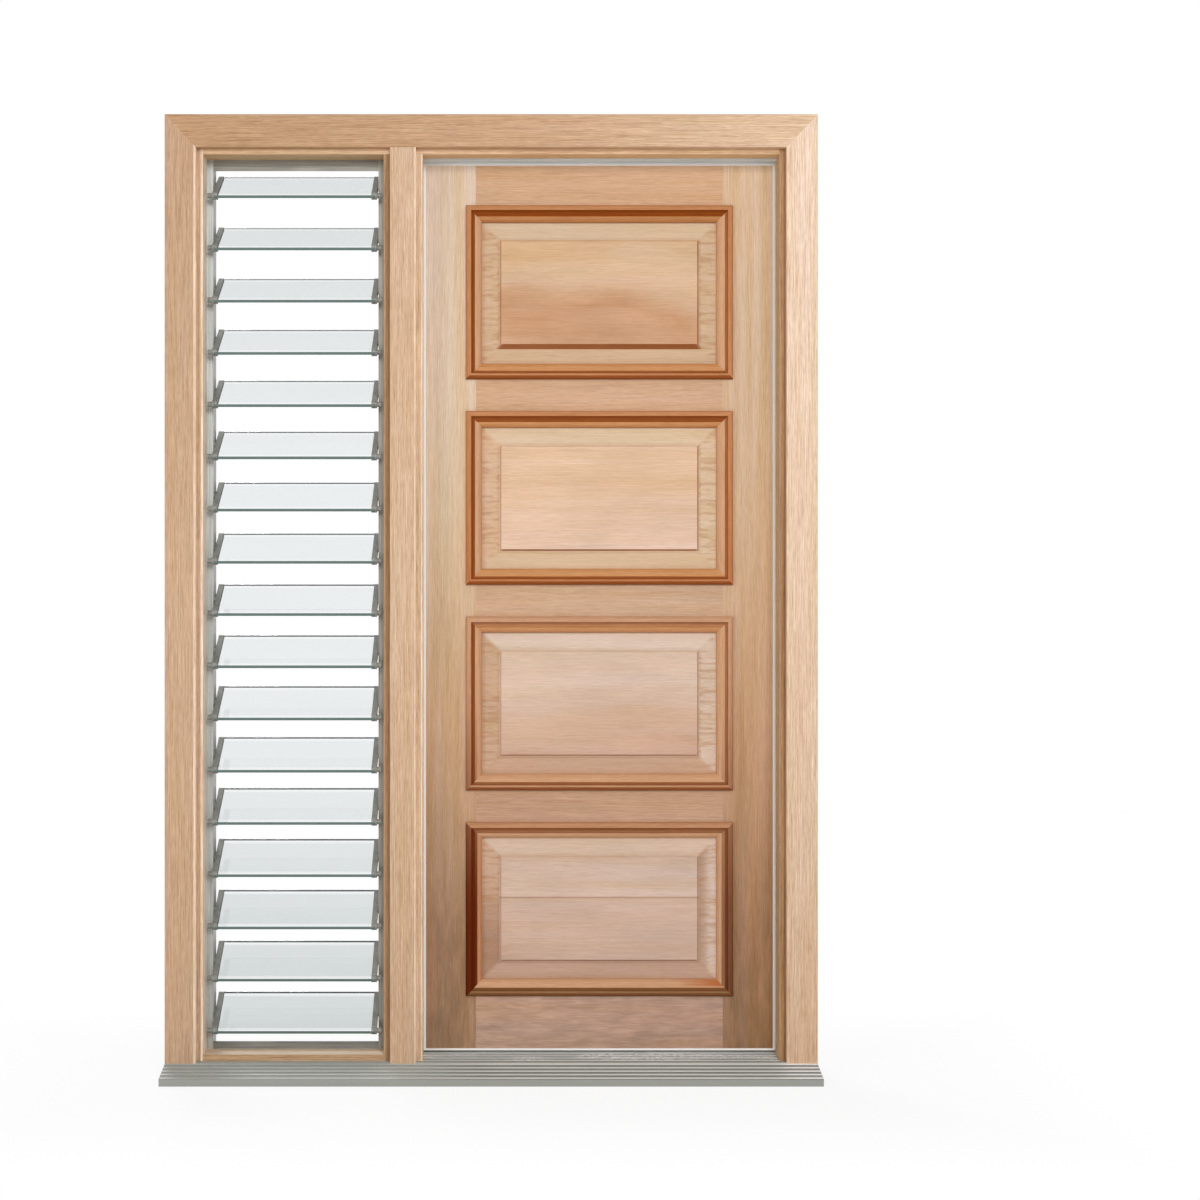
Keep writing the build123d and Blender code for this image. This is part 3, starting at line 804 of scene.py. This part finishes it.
def blade_glass():
    """Clear glass, faintly grey, with dark sea-green edges and a painted highlight strip inside
    them.
    """
    finish = Finish("blade_glass_finish")
    low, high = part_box("louvre_blades")
    middle_y = (low.y + high.y) / 2
    reach = (high.y - low.y) / 2 - BLADE_THICKNESS / 2 * math.sin(BLADE_TILT)
    outwards = abs(finish.y - middle_y)
    edge = outwards.rise(reach - GROUND_EDGE[0], reach - GROUND_EDGE[1])
    highlight_strip = outwards.rise(reach - HIGHLIGHT_STRIP[0], reach - HIGHLIGHT_STRIP[1])
    clouds = finish.streaks(X_AXIS, 3.0, 9.0, cut_from(9))
    high_or_low = abs(finish.z - (LOWEST_PIVOT + HIGHEST_PIVOT) / 2).rise(0.2, 1.0)
    tint = finish.root.blend(paint(232, 236, 237), paint(212, 217, 217), high_or_low)
    face = tint.scaled(0.97 + 0.06 * clouds)
    # A painted highlight strip inside the ground edge
    lit = finish.root.blend(face, paint(252, 253, 253), highlight_strip)
    clear_sockets = {"Base Color": lit, "Roughness": 0.02, "Transmission Weight": 1.0, "IOR": 1.45}
    clear = finish.root.node("ShaderNodeBsdfPrincipled", {}, clear_sockets)
    ground_sockets = {"Base Color": paint(96, 116, 110), "Roughness": 0.35}
    ground = finish.root.node("ShaderNodeBsdfPrincipled", {}, ground_sockets)
    mixed = finish.root.node("ShaderNodeMixShader", {}, {0: edge, 1: clear, 2: ground})
    finish.root.node("ShaderNodeOutputMaterial", {}, {"Surface": mixed})
    return finish.material


# Pieces that repeat
class Pattern:
    """A Geometry Nodes tree with named inputs, run once and turned into a plain mesh."""

    def __init__(self, name, sizes):
        self.name = name
        self.sizes = sizes
        self.tree = bpy.data.node_groups.new(name, "GeometryNodeTree")
        sockets = self.tree.interface
        sockets.new_socket("Geometry", in_out="OUTPUT", socket_type="NodeSocketGeometry")
        kinds = {float: "Float", int: "Int", tuple: "Vector", bpy.types.Material: "Material"}
        self.labels = {}
        for label, value in sizes.items():
            kind = f"NodeSocket{kinds[type(value)]}"
            made = sockets.new_socket(label, in_out="INPUT", socket_type=kind)
            self.labels[label] = made.identifier
        self.root = Wire(self.tree)
        entry = self.tree.nodes.new("NodeGroupInput")
        self.size = {label: Wire(self.tree, entry.outputs[label]) for label in sizes}

    def close(self, points, shape, turn):
        """Sets the shape on the points and gives the finished object, at the origin."""
        placed = self.root.node(
            "GeometryNodeInstanceOnPoints",
            {},
            {"Points": points, "Instance": shape, "Rotation": turn},
        )
        solid = self.root.node("GeometryNodeRealizeInstances", {}, {0: placed})
        dressed = self.root.node(
            "GeometryNodeSetMaterial", {}, {"Geometry": solid, "Material": self.size["Finish"]}
        )
        self.root.node("NodeGroupOutput", {}, {0: dressed})
        holder = bpy.data.objects.new(self.name, bpy.data.meshes.new(self.name))
        bpy.context.scene.collection.objects.link(holder)
        modifier = holder.modifiers.new(self.name, "NODES")
        modifier.node_group = self.tree
        for label, value in self.sizes.items():
            modifier[self.labels[label]] = value
        return holder


def settle(holder):
    """Turns an object with modifiers into its finished plain mesh."""
    graph = bpy.context.evaluated_depsgraph_get()
    mesh = bpy.data.meshes.new_from_object(holder.evaluated_get(graph))
    holder.modifiers.clear()
    holder.data = mesh
    return holder


GROUND_RADIUS = 0.0012


def louvre_blades():
    """Glass blades on a straight row of pivots, with ground and rounded edges."""
    low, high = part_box("louvre_blades")
    sizes = {
        "Length": high.x - low.x,
        "Width": BLADE_WIDTH,
        "Thickness": BLADE_THICKNESS,
        "Tilt": BLADE_TILT,
        "Count": BLADE_COUNT,
        "Lowest Pivot": ((low.x + high.x) / 2, (low.y + high.y) / 2, LOWEST_PIVOT),
        "Pitch": (HIGHEST_PIVOT - LOWEST_PIVOT) / (BLADE_COUNT - 1),
        "Finish": blade_glass(),
    }
    row = Pattern("glass_louvre_blades", sizes)
    root, size = row.root, row.size
    blade_size = root.vector(size["Length"], size["Width"], size["Thickness"])
    blade = root.node("GeometryNodeMeshCube", {}, {"Size": blade_size})
    pivots = root.node(
        "GeometryNodeMeshLine",
        {"mode": "OFFSET"},
        {
            "Count": size["Count"],
            "Start Location": size["Lowest Pivot"],
            "Offset": root.vector(0.0, 0.0, size["Pitch"]),
        },
    )
    holder = row.close(pivots, blade, root.vector(size["Tilt"], 0.0, 0.0))
    rounding = holder.modifiers.new("ground_edges", "BEVEL")
    rounding.width = GROUND_RADIUS
    rounding.segments = 3
    return settle(holder)


blades = louvre_blades()
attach(blades, "frame")
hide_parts("louvre_blades")


def hinge_screws(name, face_x, turn):
    """Cross-slotted screw heads in a zigzag on each flap of one hinge half."""
    sizes = {
        "Head Radius": 0.004,
        "Head Height": 0.0008,
        "Slot Length": 0.0052,
        "Slot Width": 0.0010,
        "Slot Depth": 0.0005,
        "Screws": 4,
        "Screw Pitch": 0.025,
        "Zigzag": 0.010,
        "Hinges": HINGE_COUNT,
        "Hinge Pitch": HINGE_PITCH,
        "Lowest Hinge": (face_x, FLAP_MIDDLE_Y, HINGE_LOWEST),
        "Turn": turn,
        "Finish": nodes["hinge_pins"].material_slots[0].material,
    }
    row = Pattern(name, sizes)
    root, size = row.root, row.size
    head = root.node(
        "GeometryNodeMeshCylinder",
        {},
        {"Vertices": 24, "Radius": size["Head Radius"], "Depth": size["Head Height"]},
    )
    slot_place = root.vector(0.0, 0.0, size["Head Height"] / 2)
    bars = []
    for long_side, short_side in (("Slot Length", "Slot Width"), ("Slot Width", "Slot Length")):
        bar_size = root.vector(size[long_side], size[short_side], size["Slot Depth"] * 2)
        bar = root.node("GeometryNodeMeshCube", {}, {"Size": bar_size})
        bars.append(
            root.node("GeometryNodeTransform", {}, {"Geometry": bar, "Translation": slot_place})
        )
    for bar in bars:
        head = root.node(
            "GeometryNodeMeshBoolean",
            {"operation": "DIFFERENCE"},
            {"Mesh 1": head, "Mesh 2": bar},
        )
    half_row = (size["Screws"] - 1) * size["Screw Pitch"] / 2
    flap = root.node(
        "GeometryNodeMeshLine",
        {"mode": "OFFSET"},
        {
            "Count": size["Screws"],
            "Start Location": root.vector(0.0, 0.0, 0.0 - half_row),
            "Offset": root.vector(0.0, 0.0, size["Screw Pitch"]),
        },
    )
    swing = (root.node("GeometryNodeInputIndex") % 2.0 - 0.5) * size["Zigzag"]
    aside = root.vector(0.0, swing, 0.0)
    flap = root.node("GeometryNodeSetPosition", {}, {"Geometry": flap, "Offset": aside})
    hinges = root.node(
        "GeometryNodeMeshLine",
        {"mode": "OFFSET"},
        {
            "Count": size["Hinges"],
            "Start Location": size["Lowest Hinge"],
            "Offset": root.vector(0.0, 0.0, size["Hinge Pitch"]),
        },
    )
    flaps = root.node("GeometryNodeInstanceOnPoints", {}, {"Points": hinges, "Instance": flap})
    places = root.node("GeometryNodeRealizeInstances", {}, {0: flaps})
    return settle(row.close(places, head, root.vector(0.0, size["Turn"], 0.0)))


QUARTER_TURN = math.pi / 2
jamb_screws = hinge_screws("hinge_jamb_screws", JAMB_FLAP_FACE, -QUARTER_TURN)
leaf_screws = hinge_screws("hinge_leaf_screws", LEAF_FLAP_FACE, QUARTER_TURN)
for screws, body in ((jamb_screws, "frame"), (leaf_screws, "door_leaf")):
    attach(screws, body)


# Stage: a pale floor that is white to the camera and keeps a soft shadow round the door's foot
def white_to_view(root):
    """1 where the camera sees the stage, straight or by way of metal and glass."""
    seen = root.node("ShaderNodeLightPath", output="Is Camera Ray")
    glossy = root.node("ShaderNodeLightPath", output="Is Glossy Ray")
    passed = root.node("ShaderNodeLightPath", output="Is Transmission Ray")
    return seen.larger(glossy).larger(passed)


DOOR_HALF_WIDTH = 0.75
DOOR_HALF_DEPTH = 0.12
SHADOW_REACH = (0.05, 0.7)
SHADOW_SHARE = 0.12


def floor_finish():
    finish = Finish("floor_finish")
    root = finish.root
    away = (abs(finish.x) - DOOR_HALF_WIDTH).larger(abs(finish.y) - DOOR_HALF_DEPTH)
    pale = root.node("ShaderNodeBsdfDiffuse", {}, {"Color": (0.9, 0.9, 0.9, 1.0)})
    white = root.node("ShaderNodeEmission", {}, {"Color": (1.0, 1.0, 1.0, 1.0), "Strength": 1.0})
    lit = 1.0 - SHADOW_SHARE + SHADOW_SHARE * away.rise(*SHADOW_REACH)
    share = white_to_view(root) * lit
    mixed = root.node("ShaderNodeMixShader", {}, {0: share, 1: pale, 2: white})
    root.node("ShaderNodeOutputMaterial", {}, {"Surface": mixed})
    return finish.material


FLOOR_HALF = 12.0
floor_mesh = bpy.data.meshes.new("floor")
floor_corners = [
    (-FLOOR_HALF, -FLOOR_HALF, 0.0),
    (FLOOR_HALF, -FLOOR_HALF, 0.0),
    (FLOOR_HALF, FLOOR_HALF, 0.0),
    (-FLOOR_HALF, FLOOR_HALF, 0.0),
]
floor_mesh.from_pydata(floor_corners, [], [(0, 1, 2, 3)])
floor = bpy.data.objects.new("floor", floor_mesh)
floor_mesh.materials.append(floor_finish())
bpy.context.scene.collection.objects.link(floor)

AMBIENT = 0.42
world = bpy.data.worlds.new("studio")
bpy.context.scene.world = world
world.use_nodes = True
world.node_tree.nodes.clear()
air = Wire(world.node_tree)
level = AMBIENT + (1.0 - AMBIENT) * white_to_view(air)
backdrop = air.node("ShaderNodeBackground", {}, {"Color": (1.0, 1.0, 1.0, 1.0), "Strength": level})
air.node("ShaderNodeOutputWorld", {}, {"Surface": backdrop})

DOOR_MIDDLE = (0.0, 0.0, 1.08)


def softbox(name, place, size, power):
    """A square lamp that faces the middle of the door."""
    light = bpy.data.lights.new(name, "AREA")
    light.shape = "SQUARE"
    light.size = size
    light.energy = power
    holder = bpy.data.objects.new(name, light)
    holder.location = place
    aim = [target - start for target, start in zip(DOOR_MIDDLE, place)]
    flat = math.hypot(aim[0], aim[1])
    holder.rotation_euler = (math.atan2(flat, -aim[2]), 0.0, math.atan2(-aim[0], aim[1]))
    holder.visible_camera = False
    holder.visible_transmission = False
    bpy.context.scene.collection.objects.link(holder)


softbox("key_softbox", (1.5, -8.3, 4.3), 3.0, 335.0)
softbox("fill_softbox", (-5.0, -6.0, 2.4), 3.0, 90.0)
softbox("back_softbox", (-3.0, 7.0, 5.0), 3.4, 380.0)

# Camera, at the height of the middle rail
CAMERA_DISTANCE = 4.5
CAMERA_HEIGHT = 1.075
LENS = 60.0
SENSOR = 36.0
IMAGE_WIDTH = 1200.0
OPTICAL_AXIS_COLUMN = 491.2
camera_data = bpy.data.cameras.new("camera")
camera_data.lens = LENS
camera_data.sensor_width = SENSOR
camera_data.shift_x = 0.5 - OPTICAL_AXIS_COLUMN / IMAGE_WIDTH
camera = bpy.data.objects.new("camera", camera_data)
camera.location = (0.0, -CAMERA_DISTANCE, CAMERA_HEIGHT)
camera.rotation_euler = (math.pi / 2, 0.0, 0.0)
bpy.context.scene.collection.objects.link(camera)
bpy.context.scene.camera = camera
bpy.context.scene.view_settings.view_transform = "Standard"
